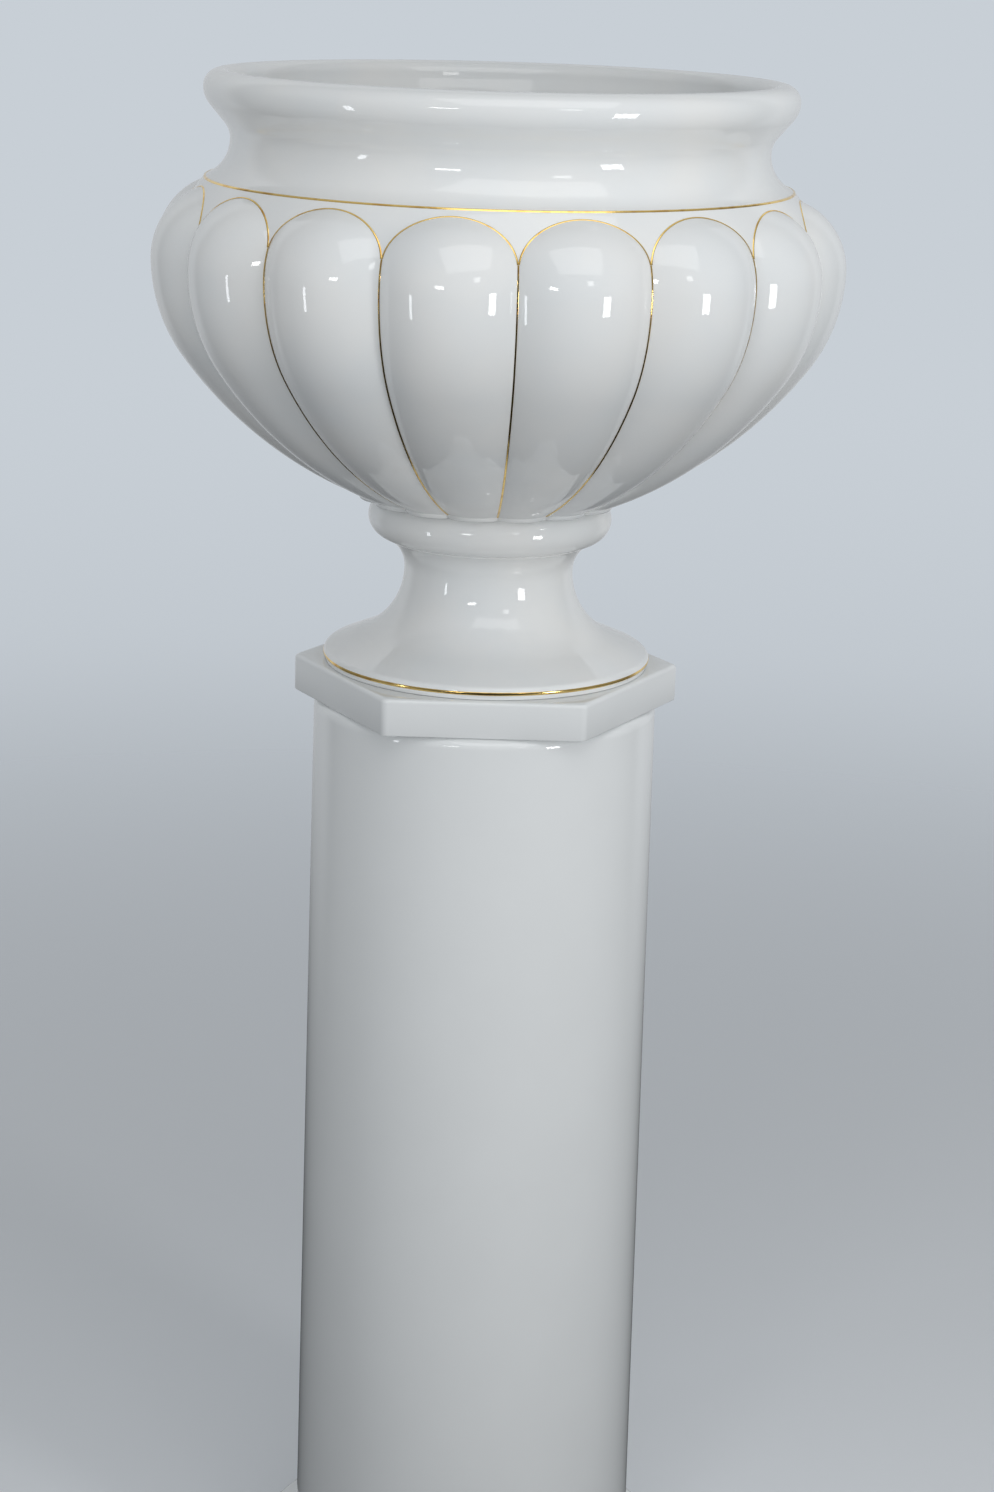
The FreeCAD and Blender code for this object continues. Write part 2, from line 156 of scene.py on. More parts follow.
@dataclass
class Shell:
    """A mesh in the making: grids of points in millimetres, joined into quads."""

    name: str
    points: list[np.ndarray] = field(default_factory=list)
    faces: list[tuple[int, ...]] = field(default_factory=list)

    def add_grid(self, grid: np.ndarray) -> None:
        """Add a grid of quads, in rows and columns, whose last column joins the first."""
        rows, columns = grid.shape[:2]
        start = sum(len(block) for block in self.points)
        self.points.append(grid.reshape(-1, 3))
        for row in range(rows - 1):
            low, high = start + row * columns, start + (row + 1) * columns
            for column in range(columns):
                following = (column + 1) % columns
                self.faces.append((low + column, low + following, high + following, high + column))

    def add_tube(self, loops: np.ndarray) -> None:
        """Add a tube of loops, one row each, that ends in caps."""
        start = sum(len(block) for block in self.points)
        self.add_grid(loops)
        count = loops.shape[1]
        last = start + (loops.shape[0] - 1) * count
        self.faces.append(tuple(range(start, start + count))[::-1])
        self.faces.append(tuple(range(last, last + count)))

    def make(self, level: float, turn: float = 0.0, sharp: float = NO_CREASE) -> bpy.types.Object:
        """Make the object, merge doubled points and shade it smooth.

        Args:
            level: height of the shell's own zero, in millimetres.
            turn: turn about the axis, in degrees.
            sharp: angle in degrees above which an edge stays sharp.

        Returns:
            The new object, with its place in its mesh.
        """
        mesh = bpy.data.meshes.new(self.name)
        mesh.from_pydata((np.concatenate(self.points) * MM).tolist(), [], self.faces)
        place = Matrix.Translation((0, 0, level * MM)) @ Matrix.Rotation(math.radians(turn), 4, "Z")
        mesh.transform(place)
        work = bmesh.new()
        work.from_mesh(mesh)
        bmesh.ops.remove_doubles(work, verts=work.verts, dist=MERGE_REACH)
        bmesh.ops.dissolve_degenerate(work, edges=work.edges, dist=SLIVER_REACH)
        bmesh.ops.recalc_face_normals(work, faces=work.faces)
        work.to_mesh(mesh)
        work.free()
        mesh.shade_smooth()
        if sharp < NO_CREASE:
            mesh.set_sharp_from_angle(angle=math.radians(sharp))
        piece = bpy.data.objects.new(self.name, mesh)
        bpy.context.scene.collection.objects.link(piece)
        return piece


def crease_loops(
    points: np.ndarray, first: np.ndarray, second: np.ndarray, width: float, fill: float
) -> np.ndarray:
    """Return the cross-sections of a line of gilding that lies in a crease between two surfaces.

    Args:
        points: the crease's points, one per row.
        first: outward normals of the one surface at those points.
        second: outward normals of the other surface.
        width: how far the gilding runs up each side.
        fill: how far its middle stands out of the crease.

    Returns:
        One loop of six points per row.
    """
    first = first / np.linalg.norm(first, axis=1, keepdims=True)
    second = second / np.linalg.norm(second, axis=1, keepdims=True)
    along = np.cross(first, second)
    sides = []
    for own, other in ((first, second), (second, first)):
        side = np.cross(along, own)
        side /= np.linalg.norm(side, axis=1, keepdims=True)
        side *= np.sign(np.sum(side * other, axis=1, keepdims=True))
        sides.append(side)
    out = (first + second) / np.linalg.norm(first + second, axis=1, keepdims=True)
    lift, root = 0.06, 0.3
    half_way, shoulder_rise = 0.5, 0.8
    edges = [points + side * width + own * lift for side, own in zip(sides, (first, second))]
    shoulders = [points + side * width * half_way + out * fill * shoulder_rise for side in sides]
    middle, bottom = points + out * fill, points - out * root
    return np.stack([edges[0], shoulders[0], middle, shoulders[1], edges[1], bottom], axis=1)


# ---------------------------------------------------------------- materials


def linear(colour: str) -> tuple[float, float, float, float]:
    """Return a colour written as sRGB hex as linear red, green, blue and alpha."""
    channels = [int(colour[start : start + 2], 16) / 255 for start in (1, 3, 5)]
    bright = [c / 12.92 if c <= 0.04045 else ((c + 0.055) / 1.055) ** 2.4 for c in channels]
    return (bright[0], bright[1], bright[2], 1.0)


def add_node(tree: bpy.types.NodeTree, kind: str, inputs: dict[Any, Any], **settings: Any) -> Any:
    """Add a node with its settings and links.

    Args:
        tree: the node tree.
        kind: the node's type name.
        inputs: value or socket for each input, by name or number.
        settings: the node's own properties.

    Returns:
        The node.
    """
    node = tree.nodes.new(kind)
    for name, setting in settings.items():
        setattr(node, name, setting)
    for name, given in inputs.items():
        if isinstance(given, bpy.types.NodeSocket):
            tree.links.new(given, node.inputs[name])
        else:
            node.inputs[name].default_value = given
    return node


def empty_material(name: str) -> tuple[bpy.types.Material, bpy.types.NodeTree]:
    """Return a new material and its cleared node tree."""
    material = bpy.data.materials.new(name)
    material.use_nodes = True
    material.node_tree.nodes.clear()
    return material, material.node_tree


def noise(tree: bpy.types.NodeTree, place: Any, size_mm: float, detail: float = 2.0) -> Any:
    """Return the value socket of a noise whose patches are about size_mm across."""
    inputs = {"Vector": place, "Scale": 1 / (size_mm * MM), "Detail": detail}
    return add_node(tree, "ShaderNodeTexNoise", inputs).outputs["Fac"]


def calculate(tree: bpy.types.NodeTree, operation: str, *terms: Any) -> Any:
    """Return the value socket of a math node with the given terms."""
    node = add_node(tree, "ShaderNodeMath", dict(enumerate(terms)), operation=operation)
    return node.outputs["Value"]


def ranged(
    tree: bpy.types.NodeTree,
    value: Any,
    source: tuple[float, float],
    target: tuple[float, float] = (0.0, 1.0),
    kind: str = "LINEAR",
) -> Any:
    """Return a value taken from one range onto another.

    Args:
        tree: the node tree.
        value: the value's socket.
        source: the range that it comes from.
        target: the range that it goes onto.
        kind: the way between the ends, straight or eased.

    Returns:
        The result's socket, held within the target range.
    """
    inputs = {
        "Value": value,
        "From Min": source[0],
        "From Max": source[1],
        "To Min": target[0],
        "To Max": target[1],
    }
    return add_node(tree, "ShaderNodeMapRange", inputs, interpolation_type=kind).outputs["Result"]


def blend(tree: bpy.types.NodeTree, factor: Any, first: str, second: str) -> Any:
    """Return the socket of a colour between two that are written as sRGB hex."""
    inputs = {"Factor": factor, "A": linear(first), "B": linear(second)}
    return add_node(tree, "ShaderNodeMix", inputs, data_type="RGBA").outputs["Result"]


def bumped(tree: bpy.types.NodeTree, height: Any, depth_mm: float, under: Any = None) -> Any:
    """Return the normal of a relief of depth_mm, on the relief that lies under it."""
    inputs = {"Height": height, "Distance": depth_mm * MM, "Strength": 1.0}
    if under is not None:
        inputs["Normal"] = under
    return add_node(tree, "ShaderNodeBump", inputs).outputs["Normal"]


@dataclass(frozen=True)
class GlazedEarthenware:
    """White earthenware under a clear fired glaze.

    The body is a dense white that scatters light, and the glaze over it is a glassy skin that
    mirrors the room sharply. The skin is never quite flat: it ripples where it ran, and has the
    faint pitting of a fired glaze. Where it lies thick it looks a little greyer.
    """

    name: str
    body: str = "#E9E9E7"
    thick: str = "#E4E6E6"
    cloud_mm: float = 70.0
    cloud_edge: tuple[float, float] = (0.35, 0.65)
    gloss: float = 0.03
    gloss_mm: float = 22.0
    gloss_swing: tuple[float, float] = (0.7, 1.5)
    ripple_mm: float = 34.0
    ripple_height_mm: float = 0.05
    pit_mm: float = 2.6
    pit_height_mm: float = 0.0035
    refraction: float = 1.52

    def make(self) -> bpy.types.Material:
        """Return the material."""
        material, tree = empty_material(self.name)
        place = add_node(tree, "ShaderNodeTexCoord", {}).outputs["Object"]
        clouds = ranged(tree, noise(tree, place, self.cloud_mm, 3.0), self.cloud_edge)
        low, high = (self.gloss * share for share in self.gloss_swing)
        sheen = ranged(tree, noise(tree, place, self.gloss_mm), (0.0, 1.0), (low, high))
        ripple = bumped(tree, noise(tree, place, self.ripple_mm, 1.0), self.ripple_height_mm)
        pitting = bumped(tree, noise(tree, place, self.pit_mm, 1.0), self.pit_height_mm, ripple)
        inputs = {
            "Base Color": blend(tree, clouds, self.body, self.thick),
            "Roughness": sheen,
            "IOR": self.refraction,
            "Normal": pitting,
        }
        shader = add_node(tree, "ShaderNodeBsdfPrincipled", inputs).outputs["BSDF"]
        add_node(tree, "ShaderNodeOutputMaterial", {"Surface": shader})
        return material


@dataclass(frozen=True)
class FiredGold:
    """Gold lustre painted on the glaze with a fine brush and fired.

    It is a true metal film, warm yellow and bright where it mirrors a lamp and nearly black where
    it mirrors the dark. Brush drag leaves it uneven, and it thins to a redder tone along the line.
    """

    name: str
    gold: str = "#F0CF82"
    thin: str = "#D0A152"
    wear_mm: float = 9.0
    wear_edge: tuple[float, float] = (0.5, 0.72)
    gloss: float = 0.12
    gloss_swing: tuple[float, float] = (0.6, 1.6)
    drag_mm: float = 1.4
    drag_height_mm: float = 0.03

    def make(self) -> bpy.types.Material:
        """Return the material."""
        material, tree = empty_material(self.name)
        place = add_node(tree, "ShaderNodeTexCoord", {}).outputs["Object"]
        drag = noise(tree, place, self.drag_mm, 3.0)
        wear = ranged(tree, noise(tree, place, self.wear_mm, 4.0), self.wear_edge)
        low, high = (self.gloss * share for share in self.gloss_swing)
        inputs = {
            "Base Color": blend(tree, wear, self.gold, self.thin),
            "Metallic": 1.0,
            "Roughness": ranged(tree, drag, (0.0, 1.0), (low, high)),
            "Normal": bumped(tree, drag, self.drag_height_mm),
        }
        shader = add_node(tree, "ShaderNodeBsdfPrincipled", inputs).outputs["BSDF"]
        add_node(tree, "ShaderNodeOutputMaterial", {"Surface": shader})
        return material


class Slot(Enum):
    """Names of three material slots, which nothing in this script uses."""

    PEDESTAL = "pedestal_glaze"
    BOWL = "bowl_glaze"
    GILDING = "gilding"


def dress(piece: bpy.types.Object, material: bpy.types.Material, body: str) -> None:
    """Give a piece its material and body, and let it stand for the node of its name.

    Args:
        piece: the finished piece, named for its node with _skin at the end.
        material: its material.
        body: the body that it rides on.
    """
    piece.data.materials.append(material)
    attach(piece, body)
    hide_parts(piece.name.removesuffix("_skin"))
    LOG.info("%s: %d faces on %s", piece.name, len(piece.data.polygons), body)


# ---------------------------------------------------------------- jardiniere


@dataclass
class Jardiniere:
    """Gadrooned bowl and its foot, with their gilding.

    A lobe's level section is an arc. Up to the belly its radius is a fixed share of the crest's,
    and above it the arc shrinks like an ellipse, so that each lobe ends in a round dome. The
    valleys and the arches are where lobes meet each other and the plain shoulder. Below, each lobe
    curls in to its seat on the foot.
    """

    level: float
    turn: float = -7.85
    lobes: int = 16
    seat: float = 112.0
    belly_radius: float = 227.5
    belly_height: float = 271.0
    belly_arc: float = 108.0
    belly_arc_angle: float = 36.0
    underside_arc: float = 275.0
    crown_arc: float = 47.5
    lobe_share: float = 0.2267
    dome_start: float = 290.5
    dome_rise: float = 28.0
    shoulder_radius: float = 210.85
    shoulder_height: float = 270.0
    shoulder_arc: float = 75.0
    break_height: float = 320.5
    neck_radius: float = 175.0
    neck_height: float = 344.5
    neck_arc: float = 16.0
    neck_slope: float = 40.0
    rim_radius: float = 192.2
    rim_height: float = 377.0
    rim_under_arc: float = 17.0
    rim_top_arc: float = 11.0
    lip_arc: float = 9.2
    bead_radius: float = 81.7
    bead_arc: float = 14.2
    bead_height: float = 99.5
    stem_radius: float = 56.8
    stem_height: float = 64.0
    stem_lower_arc: float = 50.0
    stem_upper_arc: float = 23.5
    waist_end: float = 119.5
    bead_start: float = -86.0
    foot_slope: float = 25.0
    foot_base_radius: float = 109.5
    foot_edge_radius: float = 110.6
    foot_edge_height: float = 4.6
    foot_edge_arc: float = 5.0
    foot_ring_width: float = 9.5
    stem_bore: float = 44.5
    lobe_lip: float = 3.2
    columns_per_lobe: int = 26
    underside_rows: int = 22
    belly_rows: int = 14
    crown_rows: int = 7
    dome_rows: int = 14
    shoulder_rows: int = 8
    lip_rows: int = 5
    foot_columns: int = 180
    ring_columns: int = 240
    valley_rows: int = 90
    arch_rows: int = 61
    gilt_valley: float = 0.72
    gilt_valley_fill: float = 0.5
    gilt_valley_start: float = 1.8
    gilt_valley_gap: float = 0.15
    gilt_arch: float = 0.62
    gilt_arch_fill: float = 0.38
    gilt_arch_end: float = 0.995
    gilt_crest_nudge: float = 0.1

    def __post_init__(self) -> None:
        """Work out the joints of the arcs."""
        self.half_pitch = math.pi / self.lobes
        knee = math.radians(self.belly_arc_angle)
        self.knee_radius = self.belly_radius - self.belly_arc * (1 - math.cos(knee))
        self.knee_height = self.belly_height - self.belly_arc * math.sin(knee)
        self.under_radius = self.knee_radius - self.underside_arc * math.cos(knee)
        self.under_height = self.knee_height + self.underside_arc * math.sin(knee)
        self.cusp = solve(lambda z: self.valley(z) - self.shoulder(z), self.dome_start, 305.0)
        self.arch_top = solve(lambda z: self.crest(z) - self.shoulder(z), 305.0, 318.3)

    def crest(self, height: float) -> float:
        """Return the radius of a lobe's crest at a height."""
        if height < self.knee_height:
            drop = height - self.under_height
            return self.under_radius + math.sqrt(self.underside_arc**2 - drop**2)
        arc_radius = self.belly_arc if height < self.belly_height else self.crown_arc
        centre = self.belly_radius - arc_radius
        return centre + math.sqrt(arc_radius**2 - (height - self.belly_height) ** 2)

    def shoulder(self, height: float) -> float:
        """Return the radius of the plain shoulder at a height."""
        centre = self.shoulder_radius - self.shoulder_arc
        return centre + math.sqrt(self.shoulder_arc**2 - (height - self.shoulder_height) ** 2)

    def lobe_arc(self, height: float) -> float:
        """Return the radius of a lobe's level section."""
        if height < self.belly_height:
            return self.lobe_share * self.crest(height)
        whole = self.lobe_share * self.belly_radius
        if height < self.dome_start:
            return whole
        return whole * math.sqrt(1 - ((height - self.dome_start) / self.dome_rise) ** 2)

    def valley(self, height: float) -> float:
        """Return the radius at which a lobe meets the next one."""
        round_face = self.lobe_arc(height)
        centre = self.crest(height) - round_face
        rest = round_face**2 - (centre * math.sin(self.half_pitch)) ** 2
        return centre * math.cos(self.half_pitch) + math.sqrt(max(rest, 0.0))

    def arch_half_width(self, height: float) -> float:
        """Return how far from the lobe's middle it meets the shoulder at a height."""
        round_face = self.lobe_arc(height)
        centre = self.crest(height) - round_face
        shoulder = self.shoulder(height)
        along = (shoulder**2 - round_face**2 + centre**2) / (2 * centre)
        return math.sqrt(max(shoulder**2 - along**2, 0.0))

    def lobe_point(self, across: float, height: float) -> Place:
        """Return the lobe's point at a distance from its middle plane and a height."""
        round_face = self.lobe_arc(height)
        centre = self.crest(height) - round_face
        return (centre + math.sqrt(max(round_face**2 - across**2, 0.0)), across, height)

    def shares(self) -> np.ndarray:
        """Return the places of the columns across a lobe, from -1 to just under 1."""
        return np.linspace(-1, 1, self.columns_per_lobe, endpoint=False)

    def arch_point(self, share: float) -> Place:
        """Return the point of the arch at a share of its way, from -1 over 0 at the top to 1."""
        height = self.arch_top - (self.arch_top - self.cusp) * (1 - math.cos(share * math.pi / 2))
        if abs(share) > 0.9999:
            valley = self.valley(self.cusp)
            sign = math.copysign(1.0, share)
            return (
                valley * math.cos(self.half_pitch),
                sign * valley * math.sin(self.half_pitch),
                self.cusp,
            )
        across = self.arch_half_width(height) * (1 if share > 0 else -1)
        return self.lobe_point(across, height)

    def section_point(self, share: float, height: float) -> Place:
        """Return a point of a level section below the arches, at a share of its half width."""
        round_face = self.lobe_arc(height)
        reach = self.valley(height) * math.sin(self.half_pitch) / round_face
        across = round_face * math.sin(share * math.asin(min(reach, 1.0)))
        return self.lobe_point(across, height)

    def lobe_rows(self) -> list[Row]:
        """Return the rows of one lobe's points, from its curled end to the shoulder's break."""
        shares = self.shares()
        fall = self.under_height - self.seat - self.lobe_lip
        low = math.degrees(math.asin(fall / self.underside_arc))
        knee = self.belly_arc_angle
        centre = (self.under_radius, self.under_height)
        underside = arc(centre, self.underside_arc, -low, -knee, self.underside_rows)
        centre = (self.belly_radius - self.belly_arc, self.belly_height)
        belly = arc(centre, self.belly_arc, -knee, 0, self.belly_rows)
        heights = [height for _, height in underside[:-1] + belly[:-1]]
        heights += list(np.linspace(self.belly_height, self.cusp, self.crown_rows, endpoint=False))
        rows = [[self.section_point(share, height) for share in shares] for height in heights]
        arch = [self.arch_point(share) for share in shares]
        base = [self.section_point(share, self.cusp) for share in shares]
        for row in range(self.dome_rows + 1):
            up = row / self.dome_rows
            points = []
            for low_point, top in zip(base, arch):
                height = self.cusp + (top[2] - self.cusp) * up
                across = low_point[1] + (top[1] - low_point[1]) * up
                points.append(self.lobe_point(across, height))
            rows.append(points)
        for row in range(1, self.shoulder_rows + 1):
            up = row / self.shoulder_rows
            points = []
            for top in arch:
                height = top[2] + (self.break_height - top[2]) * up
                turn = math.atan2(top[1], top[0])
                radius = self.shoulder(height)
                points.append((radius * math.cos(turn), radius * math.sin(turn), height))
            rows.append(points)
        return rows

    def rim_profile(self) -> Profile:
        """Return the profile from the shoulder's break over the rim to the bowl's floor."""
        depth = self.shoulder(self.break_height) - self.neck_radius
        rise = self.neck_height - self.break_height
        hollow = (depth**2 + rise**2) / (2 * depth)
        start = 180 + math.degrees(math.asin(rise / hollow))
        rim_centre = (self.rim_radius - self.rim_top_arc, self.rim_height)
        lip_centre = (rim_centre[0], self.rim_height + self.rim_top_arc - self.lip_arc)
        inside = [
            (lip_centre[0] - self.lip_arc, lip_centre[1]),
            (167.5, 361.0),
            (166.0, 346.0),
            (170.0, 333.5),
            (182.0, 319.0),
            (195.0, 301.0),
            (201.5, 283.0),
            (202.3, 266.0),
            (198.0, 240.0),
            (183.0, 207.0),
            (158.0, 176.0),
            (125.0, 150.0),
            (88.0, 131.0),
            (45.0, 122.5),
            (0.0, 121.0),
        ]
        return [
            *arc((self.neck_radius + hollow, self.neck_height), hollow, start, 180, 12)[1:],
            *arc(
                (self.neck_radius + self.neck_arc, self.neck_height),
                self.neck_arc,
                180,
                180 - self.neck_slope,
                8,
            )[1:],
            *arc(
                (self.rim_radius - self.rim_under_arc, self.rim_height),
                self.rim_under_arc,
                -self.neck_slope,
                0,
                8,
            ),
            *arc(rim_centre, self.rim_top_arc, 0, 90, 12)[1:],
            *arc(lip_centre, self.lip_arc, 90, 180, 10)[1:-1],
            *smooth_run(inside, 4),
        ]

    def spins(self) -> list[np.ndarray]:
        """Return the matrices that turn rows of points from the first lobe onto each lobe."""
        spins = []
        for lobe in range(self.lobes):
            turn = lobe * 2 * self.half_pitch
            cosine, sine = math.cos(turn), math.sin(turn)
            spins.append(np.array([[cosine, sine, 0], [-sine, cosine, 0], [0, 0, 1]]))
        return spins

    def build_bowl(self) -> bpy.types.Object:
        """Return the bowl: lobes, shoulder, neck, rim and hollow as one closed skin."""
        rows = np.array(self.lobe_rows())
        outer = np.concatenate([rows @ spin for spin in self.spins()], axis=1)
        turns = np.arctan2(outer[-1, :, 1], outer[-1, :, 0])
        inner = turned_grid(self.rim_profile(), turns)
        foot_of_lobe = float(np.hypot(outer[0, :, 0], outer[0, :, 1]).max())
        curl = [(math.sin(t), 1 - math.cos(t)) for t in even_quarter(self.lip_rows)]
        inset = [(foot_of_lobe, 0.0), (0.45 * foot_of_lobe, 0.0)]
        inset += [(self.lobe_lip * (1 - out), self.lobe_lip * rise) for out, rise in curl]
        under = []
        for inward, rise in inset:
            row = outer[0] * (1 - inward / foot_of_lobe)
            row[:, 2] = self.seat + rise
            under.append(row)
        grid = np.concatenate([np.array(under), outer, inner])
        shell = Shell("bowl_skin")
        shell.add_grid(grid)
        return shell.make(self.level, self.turn, sharp=24)

    def build_foot(self) -> bpy.types.Object:
        """Return the foot: a hollow turned skin with its stem and bead."""
        flare = (self.stem_radius + self.stem_lower_arc, self.stem_height)
        waist = (self.stem_radius + self.stem_upper_arc, self.stem_height)
        bead = (self.bead_radius - self.bead_arc, self.bead_height)
        bead_end = math.degrees(math.asin((self.seat - self.bead_height) / self.bead_arc))
        slope_end = 270 - self.foot_slope
        edge = (self.foot_edge_radius - self.foot_edge_arc, self.foot_edge_height)
        bore_arc = self.stem_lower_arc + self.stem_radius - self.stem_bore
        profile = [
            (self.stem_bore, self.seat),
            *arc(flare, bore_arc, 180, slope_end, 16),
            (self.foot_base_radius - self.foot_ring_width, 0.0),
            (self.foot_base_radius - 1.2, 0.0),
            (self.foot_base_radius - 0.3, 0.4),
            (self.foot_base_radius, 1.2),
            *arc(edge, self.foot_edge_arc, 0, 90 - self.foot_slope, 8),
            *arc(flare, self.stem_lower_arc, slope_end, 180, 28),
            *arc(waist, self.stem_upper_arc, 180, self.waist_end, 14)[1:],
            *arc(bead, self.bead_arc, self.bead_start, bead_end, 26),
            (self.stem_bore, self.seat),
        ]
        shell = Shell("foot_skin")
        shell.add_grid(turned_grid(profile, even_turns(self.foot_columns)))
        return shell.make(self.level, self.turn, sharp=30)

    def valley_normals(self, height: float) -> tuple[np.ndarray, np.ndarray, np.ndarray]:
        """Return the valley's point beside a lobe and the two lobes' outward normals there."""
        across = self.valley(height) * math.sin(self.half_pitch)
        point = np.array(self.lobe_point(across, height))
        normal = self.lobe_normal(across, height)
        mirror = np.array([-math.sin(self.half_pitch), math.cos(self.half_pitch), 0.0])
        return point, normal, normal - 2 * float(normal @ mirror) * mirror

    def lobe_normal(self, across: float, height: float, step: float = 0.05) -> np.ndarray:
        """Return the outward normal of a lobe by small steps across and down."""
        here = np.array(self.lobe_point(across, height))
        aside = np.array(self.lobe_point(across - math.copysign(step, across), height)) - here
        below = np.array(self.lobe_point(across, height - step)) - here
        normal = np.cross(aside, below)
        return normal * np.sign(normal[0]) / np.linalg.norm(normal)

    def shoulder_normal(self, point: np.ndarray) -> np.ndarray:
        """Return the outward normal of the shoulder at a point."""
        radius = math.hypot(point[0], point[1])
        out = radius - (self.shoulder_radius - self.shoulder_arc)
        up = point[2] - self.shoulder_height
        normal = np.array([out * point[0] / radius, out * point[1] / radius, up])
        return normal / np.linalg.norm(normal)

    def build_lobe_gilding(self) -> bpy.types.Object:
        """Return the gilded lines down the valleys and over the arches."""
        low, high = self.seat + self.gilt_valley_start, self.cusp - self.gilt_valley_gap
        rows = [self.valley_normals(height) for height in np.linspace(low, high, self.valley_rows)]
        columns = [np.array(column) for column in zip(*rows)]
        valley = crease_loops(*columns, self.gilt_valley, self.gilt_valley_fill)
        rows = []
        for share in np.linspace(-self.gilt_arch_end, self.gilt_arch_end, self.arch_rows):
            point = np.array(self.arch_point(share))
            across = point[1] if abs(point[1]) > self.gilt_crest_nudge else self.gilt_crest_nudge
            rows.append((point, self.lobe_normal(across, point[2]), self.shoulder_normal(point)))
        columns = [np.array(column) for column in zip(*rows)]
        arch = crease_loops(*columns, self.gilt_arch, self.gilt_arch_fill)
        shell = Shell("lobe_gilt_lines_skin")
        for spin in self.spins():
            shell.add_tube(valley @ spin)
            shell.add_tube(arch @ spin)
        return shell.make(self.level, self.turn, sharp=60)

    def build_ring(self, name: str, section: Profile) -> bpy.types.Object:
        """Return a gilded ring with a closed section."""
        shell = Shell(name)
        shell.add_grid(turned_grid([*section, section[0]], even_turns(self.ring_columns)))
        return shell.make(self.level, self.turn, sharp=60)

    def build_shoulder_gilding(self) -> bpy.types.Object:
        """Return the gilded line on the break between shoulder and neck."""
        radius = self.shoulder(self.break_height)
        low = self.break_height - 0.75
        section = [
            (radius - 0.2, self.break_height - 0.4),
            (self.shoulder(low) + 0.02, low),
            (radius + 0.42, self.break_height - 0.28),
            (radius + 0.3, self.break_height + 0.22),
            (radius - 0.25, self.break_height + 0.42),
            (radius - 0.95, self.break_height + 0.45),
        ]
        return self.build_ring("shoulder_gilt_line_skin", section)

    def build_foot_gilding(self) -> bpy.types.Object:
        """Return the gilded line round the edge of the foot."""
        edge = self.foot_edge_radius
        height = self.foot_edge_height
        section = [
            (edge - 0.6, height),
            (edge - 0.32, height - 1.15),
            (edge + 0.05, height - 0.75),
            (edge + 0.22, height),
            (edge + 0.1, height + 0.75),
            (edge - 0.2, height + 1.2),
        ]
        return self.build_ring("foot_gilt_line_skin", section)

    def build(self, glaze: bpy.types.Material, gold: bpy.types.Material) -> None:
        """Build and dress the pieces of the jardiniere."""
        for piece in (self.build_bowl(), self.build_foot()):
            dress(piece, glaze, "jardiniere")
        for piece in (
            self.build_shoulder_gilding(),
            self.build_lobe_gilding(),
            self.build_foot_gilding(),
        ):
            dress(piece, gold, "jardiniere")


# ---------------------------------------------------------------- pedestal


